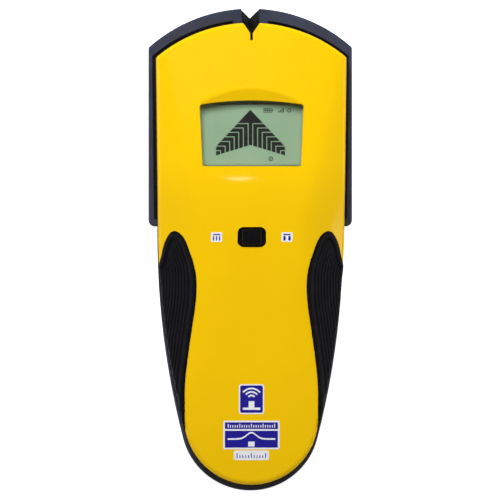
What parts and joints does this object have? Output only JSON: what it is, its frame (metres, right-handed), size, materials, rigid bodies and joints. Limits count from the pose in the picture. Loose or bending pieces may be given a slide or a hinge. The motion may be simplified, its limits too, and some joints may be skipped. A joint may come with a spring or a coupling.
{
  "type": "stud finder",
  "caption": "Hand-held stud finder with a recessed display, a sliding mode switch, side grips, a marking notch and a battery door.",
  "frame": {"origin": "centre of the overall box, on the flat back face that lies against the wall", "axes": "+Z out of the display, +Y to the nose with the marking notch, +X to the right as the display is read"},
  "size_m": [0.07, 0.166, 0.0354],
  "materials": {
    "yellow_shell": "gloss moulded ABS",
    "black_case": "satin moulded ABS",
    "grip_rubber": "moulded elastomer with fine ribs",
    "knob_plastic": "satin",
    "clear_lens": "clear polished acrylic",
    "lcd_glass": "polished",
    "lcd_film": "grey-green polariser and reflector film",
    "holder_plastic": "natural white",
    "contact_silicone": "translucent pink with a black line core",
    "tape": "black foam tape",
    "board": "green solder mask",
    "copper": "bright copper",
    "tin": "tinned",
    "connector_plastic": "moulded black",
    "chip_black": "moulded epoxy",
    "can_metal": "drawn can",
    "film_cap": "dipped resin",
    "trimmer_blue": "moulded",
    "screw_steel": "zinc plated",
    "spring_steel": "bright drawn wire",
    "battery_jacket": "printed steel jacket, plain with no marks",
    "battery_plate": "black fibre board",
    "terminal_nickel": "nickel plated",
    "clip_vinyl": "soft vinyl",
    "lead_red": "PVC insulation",
    "lead_black": "PVC insulation",
    "foam": "closed-cell foam",
    "label": "silver film, blank"
  },
  "bodies": {
    "case": {"front_shell": "yellow_shell", "rear_case": "black_case", "left_grip": "grip_rubber", "right_grip": "grip_rubber", "rear_label": "label", "display_window": "clear_lens", "window_tape": "tape", "lcd_polariser": "lcd_film", "lcd_front_glass": "lcd_glass", "lcd_rear_glass": "lcd_glass", "lcd_reflector": "lcd_film", "lcd_frame": "holder_plastic", "lcd_contact_strip": "contact_silicone", "switch_can": "tin", "switch_wafer": "connector_plastic", "switch_pins": "tin", "switch_spring_left": "spring_steel", "switch_spring_right": "spring_steel", "main_board": "board", "sensor_board": "board", "sensor_plates": "copper", "header_blocks": "connector_plastic", "header_pins": "tin", "processor": "chip_black", "amplifiers": "chip_black", "chip_legs": "tin", "buzzer": "connector_plastic", "electrolytic_capacitors": "can_metal", "crystal": "can_metal", "film_capacitors": "film_cap", "trimmer": "trimmer_blue", "chip_resistors": "chip_black", "battery_can": "battery_jacket", "battery_top_plate": "battery_plate", "battery_positive_stud": "terminal_nickel", "battery_negative_socket": "terminal_nickel", "battery_clip": "clip_vinyl", "battery_clip_contacts": "terminal_nickel", "battery_lead_red": "lead_red", "battery_lead_black": "lead_black", "battery_pad": "foam", "case_screws": "screw_steel", "main_board_screws": "screw_steel", "sensor_board_screws": "screw_steel"},
    "switch": {"switch_knob": "knob_plastic", "switch_lever": "connector_plastic"},
    "door": {"battery_door": "black_case"}
  },
  "joints": [
    {"name": "switch_slide", "type": "slide", "parent": "case", "child": "switch", "axis": [1, 0, 0], "range_m": [-0.0015, 0.0015], "stiffness_N_per_m": 800, "deforming": ["switch_spring_left", "switch_spring_right"]},
    {"name": "door_slide", "type": "slide", "parent": "case", "child": "door", "axis": [0, -1, 0], "range_m": [0, 0.062]}
  ]
}
